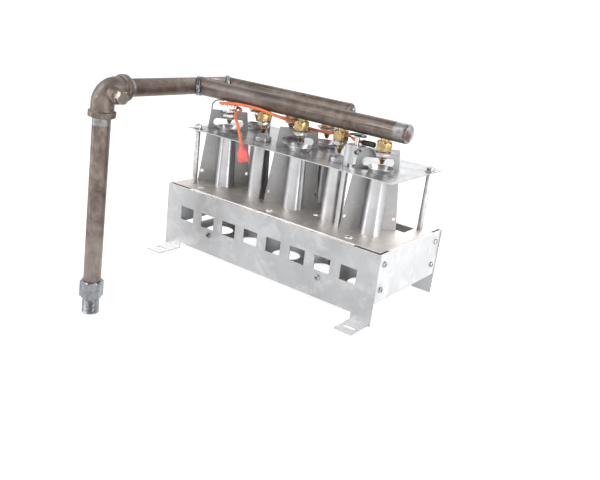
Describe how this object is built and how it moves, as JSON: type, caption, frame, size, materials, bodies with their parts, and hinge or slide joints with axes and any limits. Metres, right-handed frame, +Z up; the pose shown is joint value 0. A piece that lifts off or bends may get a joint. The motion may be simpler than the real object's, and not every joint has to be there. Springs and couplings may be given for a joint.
{
  "type": "gas burner assembly",
  "caption": "Gas burner assembly: windowed sheet-metal burner box on slotted feet, upright venturi tubes with bracketed orifices, and a steel pipe manifold with a drop leg.",
  "frame": {"origin": "centre of the four foot slots, on the plane of the feet's undersides", "axes": "+X along the box towards the end away from the drop leg, -Y out of the front panel, +Z up"},
  "size_m": [0.4492, 0.3667, 0.3732],
  "materials": {
    "sheet_steel": "galvanised sheet, light rolling marks",
    "tube_steel": "bright drawn steel",
    "pipe": "brown-black mill scale, scratched",
    "weld": "as-welded",
    "brass": "turned",
    "orifice_steel": "turned",
    "zinc": "zinc plated",
    "pilot_steel": "bright",
    "ceramic": "glazed ceramic",
    "black_rubber": "moulded",
    "orange_silicone": "silicone sleeving",
    "red_rubber": "moulded",
    "dark_wire": "insulated wire"
  },
  "bodies": {
    "root": {"bracket_front_1": "sheet_steel", "bracket_front_3": "sheet_steel", "bracket_front_5": "sheet_steel", "bracket_rear_1": "sheet_steel", "bracket_rear_2": "sheet_steel", "bracket_rear_3": "sheet_steel", "burner_plate": "sheet_steel", "deck_plate": "sheet_steel", "drop_pipe": "pipe", "earth_wire": "dark_wire", "elbow": "pipe", "elbow_plug": "brass", "electrode_sleeve": "black_rubber", "end_panel_screws": "zinc", "feed_pipe": "pipe", "front_arm_pipe": "pipe", "front_end_cap": "weld", "front_panel": "sheet_steel", "ignition_lead": "orange_silicone", "inlet_adapter": "zinc", "lead_boot": "red_rubber", "left_end_panel": "sheet_steel", "mixing_plate": "sheet_steel", "orifice_front_1": "orifice_steel", "orifice_front_2": "brass", "orifice_front_3": "brass", "orifice_front_4": "brass", "orifice_front_5": "brass", "orifice_locknuts": "zinc", "orifice_rear_1": "brass", "orifice_rear_2": "brass", "orifice_rear_3": "brass", "panel_screws": "zinc", "pilot_bracket": "pilot_steel", "pilot_burner": "pilot_steel", "pilot_collar": "pilot_steel", "pilot_screws": "zinc", "pilot_tube": "pilot_steel", "port_rings": "tube_steel", "rear_arm_pipe": "pipe", "rear_end_cap": "weld", "rear_panel": "sheet_steel", "right_end_panel": "sheet_steel", "spark_electrode": "ceramic", "standoff_nuts": "zinc", "standoff_rods": "zinc", "venturi_tube_front_1": "tube_steel", "venturi_tube_front_2": "tube_steel", "venturi_tube_front_3": "tube_steel", "venturi_tube_front_4": "tube_steel", "venturi_tube_front_5": "tube_steel", "venturi_tube_rear_1": "tube_steel", "venturi_tube_rear_2": "tube_steel", "venturi_tube_rear_3": "tube_steel", "weld_beads": "weld"}
  },
  "joints": []
}
